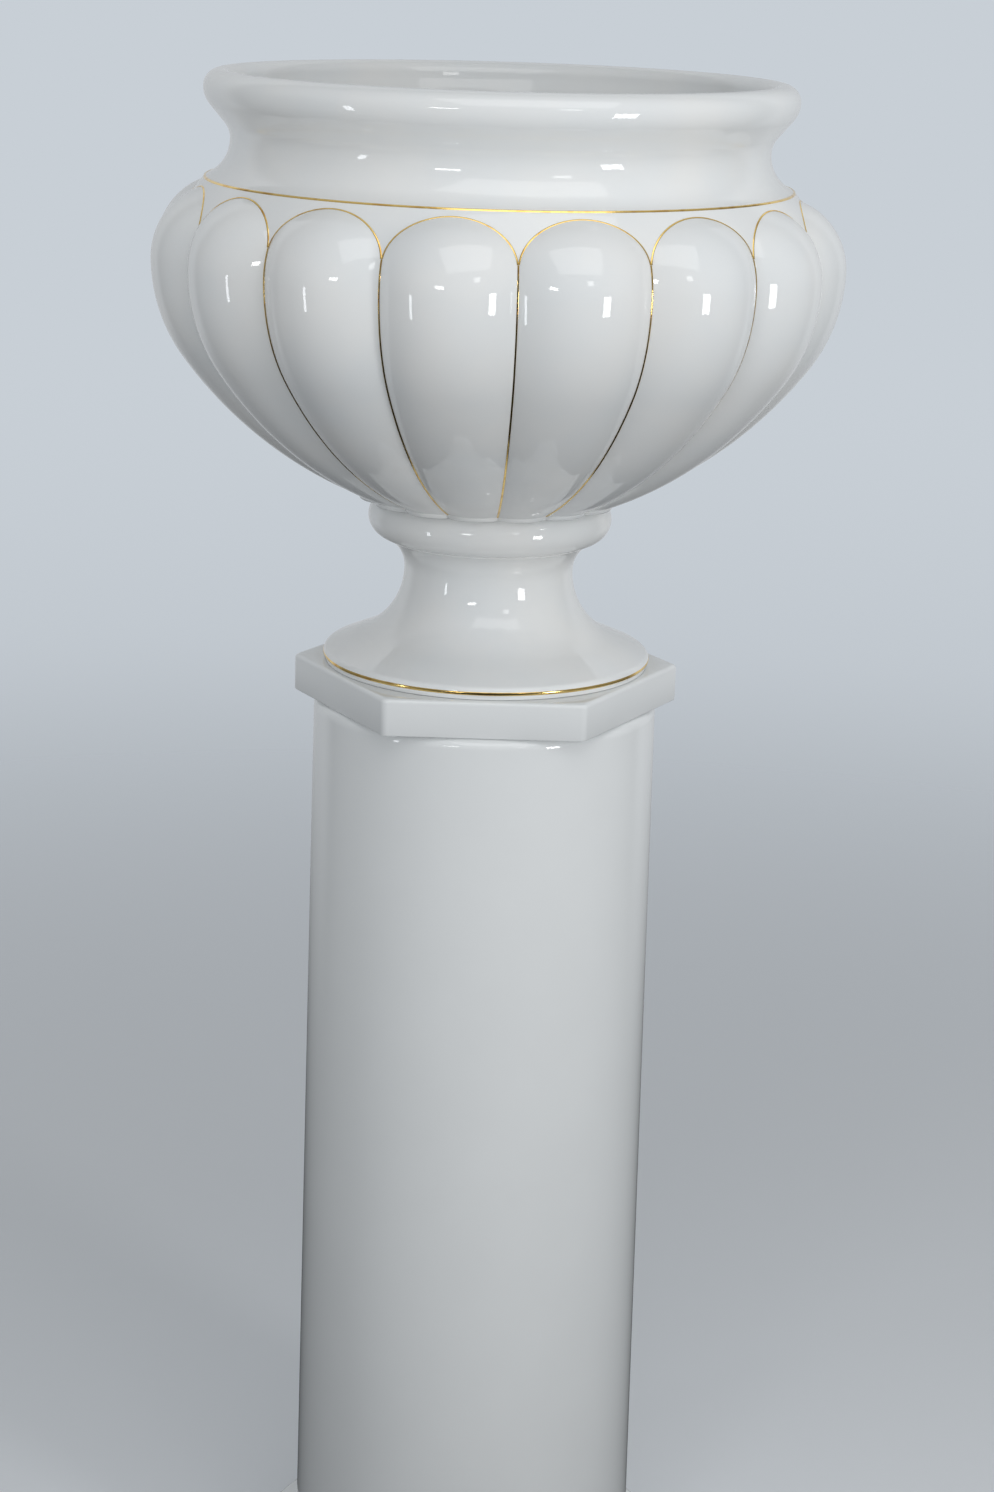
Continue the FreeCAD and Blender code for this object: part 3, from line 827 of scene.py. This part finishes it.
@dataclass
class Pedestal:
    """Hexagonal cap, round column and hexagonal plinth."""

    height: float
    cap_apothem: float = 113.2
    cap_thickness: float = 25.0
    corner: float = 6.0
    arris: float = 3.0
    column_top_radius: float = 116.5
    column_foot_radius: float = 122.1
    column_wall: float = 10.0
    column_edge: float = 7.0
    plinth_apothem: float = 134.0
    plinth_height: float = 40.0
    plinth_wall: float = 12.0
    plinth_plate: float = 14.0
    plinth_bore: float = 100.0
    underside_soft: float = 1.2
    column_foot_soft: float = 0.8
    cap_border: float = 12.0
    cap_middle: float = 0.8
    column_columns: int = 240
    corner_steps: int = 4
    arris_steps: int = 6

    def hexagon_row(self, inset: float, height: float, apothem: float) -> Row:
        """Return a level row of points round a hexagon with rounded corners and a flat in front.

        Args:
            inset: how far the row lies inside the outline.
            height: the row's height.
            apothem: half the size across flats.

        Returns:
            The points, corner by corner.
        """
        radius = max(self.corner - inset, 0.6)
        centre = (apothem - inset - radius) / math.cos(math.pi / 6)
        row = []
        for corner in range(6):
            middle = corner * math.pi / 3
            for step in range(-self.corner_steps, self.corner_steps + 1):
                turn = middle + step / self.corner_steps * math.pi / 6
                x = centre * math.cos(middle) + radius * math.cos(turn)
                y = centre * math.sin(middle) + radius * math.sin(turn)
                row.append((x, y, height))
        return row

    def slab_rows(self, apothem: float, low: float, high: float) -> list[Row]:
        """Return the rows of a slab's side, from its lower arris to the inner part of its top."""
        soft = self.underside_soft
        rows = [(soft, low), (soft * 0.3, low + soft * 0.3), (0.0, low + soft)]
        for step in range(self.arris_steps + 1):
            turn = step / self.arris_steps * math.pi / 2
            inset, drop = self.arris * (1 - math.cos(turn)), self.arris * (1 - math.sin(turn))
            rows.append((inset, high - drop))
        return [self.hexagon_row(inset, height, apothem) for inset, height in rows]

    def build_cap(self) -> bpy.types.Object:
        """Return the cap: a solid slab, glazed over its soft edges."""
        low = self.height - self.cap_thickness
        middle = self.cap_apothem - self.cap_middle
        rows = [
            self.hexagon_row(middle, low, self.cap_apothem),
            *self.slab_rows(self.cap_apothem, low, self.height),
            self.hexagon_row(self.cap_border, self.height, self.cap_apothem),
            self.hexagon_row(middle, self.height, self.cap_apothem),
        ]
        shell = Shell("cap_skin")
        shell.add_tube(np.array(rows))
        return shell.make(0.0, sharp=40)

    def build_column(self) -> bpy.types.Object:
        """Return the column: a hollow turned skin with a soft top edge."""
        top = self.height - self.cap_thickness
        edge = (self.column_top_radius - self.column_edge, top - self.column_edge)
        bore = self.column_top_radius - self.column_wall
        profile = [
            (bore, top),
            (bore, self.plinth_height),
            (self.column_foot_radius - self.column_foot_soft, self.plinth_height),
            (self.column_foot_radius, self.plinth_height + self.column_foot_soft),
            *arc(edge, self.column_edge, 0, 90, 10),
            (bore, top),
        ]
        shell = Shell("column_skin")
        shell.add_grid(turned_grid(profile, even_turns(self.column_columns)))
        return shell.make(0.0, sharp=30)

    def build_plinth(self) -> bpy.types.Object:
        """Return the plinth: an open casting with a plate on top and a drying hole in it."""
        top = self.plinth_height
        plate = top - self.plinth_plate
        outside = self.slab_rows(self.plinth_apothem, 0.0, top)
        turns = np.array([math.atan2(y, x) for x, y, _ in outside[0]])
        ring = turned_grid([(self.plinth_bore, top), (self.plinth_bore, plate)], turns)
        wall, apothem = self.plinth_wall, self.plinth_apothem
        inside = [self.hexagon_row(wall, height, apothem) for height in (plate, 0.0)]
        shell = Shell("plinth_skin")
        shell.add_grid(np.array([*outside, *ring, *inside, outside[0]]))
        return shell.make(0.0, sharp=40)

    def build(self, glaze: bpy.types.Material) -> None:
        """Build and dress the pieces of the pedestal."""
        for piece in (self.build_cap(), self.build_column(), self.build_plinth()):
            dress(piece, glaze, "pedestal")


# ---------------------------------------------------------------- studio


@dataclass(frozen=True)
class Lamp:
    """An area lamp that faces the object's axis.

    Its heading runs from the front (-Y) towards +X, in degrees, its aim is the height that it
    faces, and its size is width and height.
    """

    name: str
    heading: float
    distance_mm: float
    height_mm: float
    aim_mm: float
    size_mm: tuple[float, float]
    radiance: float
    tint: str = "#FFFFFF"

    def add(self) -> None:
        """Add the lamp to the scene."""
        width, height = (side * MM for side in self.size_mm)
        data = bpy.data.lights.new(self.name, "AREA")
        data.shape = "RECTANGLE"
        data.size, data.size_y = width, height
        data.energy = self.radiance * math.pi * width * height
        data.color = linear(self.tint)[:3]
        lamp = bpy.data.objects.new(self.name, data)
        turn = math.radians(self.heading)
        reach = self.distance_mm * MM
        place = Vector((math.sin(turn) * reach, -math.cos(turn) * reach, self.height_mm * MM))
        lamp.location = place
        aim = Vector((0, 0, self.aim_mm * MM)) - place
        lamp.rotation_euler = aim.to_track_quat("-Z", "Y").to_euler()
        bpy.context.scene.collection.objects.link(lamp)


LAMPS = (
    Lamp("right_window", 45.0, 1900.0, 760.0, 800.0, (300.0, 500.0), 15.0),
    Lamp("left_lamp", -20.5, 2250.0, 1345.0, 900.0, (400.0, 150.0), 14.0),
    Lamp("left_strip", -57.0, 1850.0, 640.0, 800.0, (110.0, 480.0), 8.0, "#F6FAFF"),
    Lamp("fill", 25.0, 2000.0, 1650.0, 900.0, (260.0, 220.0), 4.0),
    Lamp("overhead", 14.0, 1150.0, 2350.0, 900.0, (1700.0, 1300.0), 1.3),
)


@dataclass
class Studio:
    """Pale floor, soft lamps and the camera at the photograph's viewing angle."""

    stand_level: float
    frame_height: int = 1492
    focal_pixels: float = 2875.83
    camera_back: float = 1900.0
    camera_above_stand: float = 485.8
    yaw: float = 0.004985
    pitch: float = 0.280558
    roll: float = 0.030634
    sensor_mm: float = 36.0
    floor_radius: float = 3000.0
    floor_fade: float = 600.0
    floor_corners: int = 96
    floor: str = "#EEF1F4"
    floor_bounce: str = "#3A3D40"
    backdrop: str = "#C8CFD6"
    backdrop_low: str = "#A9AFB6"
    backdrop_rise: tuple[float, float] = (-0.46, -0.14)
    room: str = "#F4F8FC"
    lit_right: float = 0.66
    lit_left: float = 0.47
    lit_front: float = 0.93
    lit_behind: float = 1.14
    mirrored_sides: float = 0.3
    mirrored_front: float = 0.07
    mirrored_above: float = 0.85
    mirrored_behind: float = 0.62
    mirrored_wall_edge: tuple[float, float] = (0.45, 0.68)

    def add_camera(self) -> None:
        """Add the camera and make it the scene's."""
        data = bpy.data.cameras.new("camera")
        data.sensor_width = self.sensor_mm
        data.lens = self.focal_pixels / self.frame_height * self.sensor_mm
        data.clip_end = 100
        camera = bpy.data.objects.new("camera", data)
        bpy.context.scene.collection.objects.link(camera)
        ahead = Vector(
            (
                math.sin(self.yaw) * math.cos(self.pitch),
                math.cos(self.yaw) * math.cos(self.pitch),
                -math.sin(self.pitch),
            )
        )
        level = Vector((math.cos(self.yaw), -math.sin(self.yaw), 0))
        upright = level.cross(ahead)
        right = math.cos(self.roll) * level + math.sin(self.roll) * upright
        up = -math.sin(self.roll) * level + math.cos(self.roll) * upright
        turn = Matrix((right, up, -ahead)).transposed().to_4x4()
        eye = (0, -self.camera_back * MM, (self.stand_level + self.camera_above_stand) * MM)
        camera.matrix_world = Matrix.Translation(eye) @ turn
        bpy.context.scene.camera = camera

    def add_floor(self) -> None:
        """Add the plain pale floor, a painted disc that fades out at its edge."""
        mesh = bpy.data.meshes.new("floor")
        reach = self.floor_radius * MM
        turns = even_turns(self.floor_corners)
        corners = [(reach * math.cos(turn), reach * math.sin(turn), 0) for turn in turns]
        mesh.from_pydata(corners, [], [tuple(range(len(corners)))])
        floor = bpy.data.objects.new("floor", mesh)
        bpy.context.scene.collection.objects.link(floor)
        material, tree = empty_material("painted_board")
        place = add_node(tree, "ShaderNodeTexCoord", {}).outputs["Object"]
        length = add_node(tree, "ShaderNodeVectorMath", {0: place}, operation="LENGTH")
        fade = ranged(tree, length.outputs["Value"], (self.floor_fade * MM, reach), kind=EASED)
        seen = add_node(tree, "ShaderNodeLightPath", {}).outputs["Is Camera Ray"]
        colour = blend(tree, seen, self.floor_bounce, self.floor)
        paint = add_node(tree, "ShaderNodeBsdfDiffuse", {"Color": colour}).outputs["BSDF"]
        clear = add_node(tree, "ShaderNodeBsdfTransparent", {}).outputs["BSDF"]
        inputs = {"Fac": fade, 1: paint, 2: clear}
        shade = add_node(tree, "ShaderNodeMixShader", inputs).outputs["Shader"]
        add_node(tree, "ShaderNodeOutputMaterial", {"Surface": shade})
        mesh.materials.append(material)

    def add_room(self) -> None:
        """Surround the object with a soft room whose sides each give their own light.

        What the glaze and the gold mirror is the room as one would see it: dark in front, where the
        camera stands, and a plain wall behind. The camera itself sees an even pale backdrop.
        """
        world = bpy.data.worlds.new("room")
        world.use_nodes = True
        tree = world.node_tree
        tree.nodes.clear()
        heading = add_node(tree, "ShaderNodeTexCoord", {}).outputs["Generated"]
        axes = add_node(tree, "ShaderNodeSeparateXYZ", {"Vector": heading}).outputs

        def sides(start: Any, radiances: dict[tuple[str, float], float]) -> Any:
            """Return start and each side's light, which falls with the square of the cosine."""
            total = start
            for (axis, sign), radiance in radiances.items():
                facing = calculate(tree, "MULTIPLY", axes[axis], sign)
                share = calculate(tree, "MAXIMUM", facing, 0.0)
                square = calculate(tree, "MULTIPLY", share, share)
                total = calculate(tree, "MULTIPLY_ADD", square, radiance, total)
            return total

        right, left = ("X", 1.0), ("X", -1.0)
        front, behind, above = ("Y", -1.0), ("Y", 1.0), ("Z", 1.0)
        lit_sides = {
            right: self.lit_right,
            left: self.lit_left,
            front: self.lit_front,
            behind: self.lit_behind,
        }
        mirrored_sides = {
            right: self.mirrored_sides,
            left: self.mirrored_sides,
            front: self.mirrored_front,
            above: self.mirrored_above,
        }
        wall_light = (0.0, self.mirrored_behind)
        wall = ranged(tree, axes["Y"], self.mirrored_wall_edge, wall_light, EASED)
        lit, mirrored = sides(0.0, lit_sides), sides(wall, mirrored_sides)
        rays = add_node(tree, "ShaderNodeLightPath", {}).outputs
        inputs = {"Factor": rays["Is Glossy Ray"], "A": lit, "B": mirrored}
        strength = add_node(tree, "ShaderNodeMix", inputs).outputs["Result"]
        room = {"Color": linear(self.room), "Strength": strength}
        light = add_node(tree, "ShaderNodeBackground", room).outputs["Background"]
        lift = ranged(tree, axes["Z"], self.backdrop_rise, kind=EASED)
        backdrop = {"Color": blend(tree, lift, self.backdrop_low, self.backdrop), "Strength": 1.0}
        plain = add_node(tree, "ShaderNodeBackground", backdrop).outputs["Background"]
        inputs = {"Fac": rays["Is Camera Ray"], 1: light, 2: plain}
        shade = add_node(tree, "ShaderNodeMixShader", inputs).outputs["Shader"]
        add_node(tree, "ShaderNodeOutputWorld", {"Surface": shade})
        bpy.context.scene.world = world

    def build(self) -> None:
        """Build the studio."""
        self.add_floor()
        self.add_room()
        for lamp in LAMPS:
            lamp.add()
        self.add_camera()
        bpy.context.scene.view_settings.view_transform = "Standard"


def main() -> None:
    """Build the object in order and report each piece."""
    logging.basicConfig(level=logging.INFO, format="%(name)s: %(message)s")
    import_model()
    stand_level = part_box("cap")[1].z / MM
    glaze = GlazedEarthenware("glazed_earthenware_bowl").make()
    pedestal_glaze = GlazedEarthenware("glazed_earthenware_pedestal", body="#E6E8E8").make()
    gold = FiredGold("fired_gold_lustre").make()
    Jardiniere(stand_level).build(glaze, gold)
    Pedestal(stand_level).build(pedestal_glaze)
    Studio(stand_level).build()


if __name__ == "__main__":
    main()
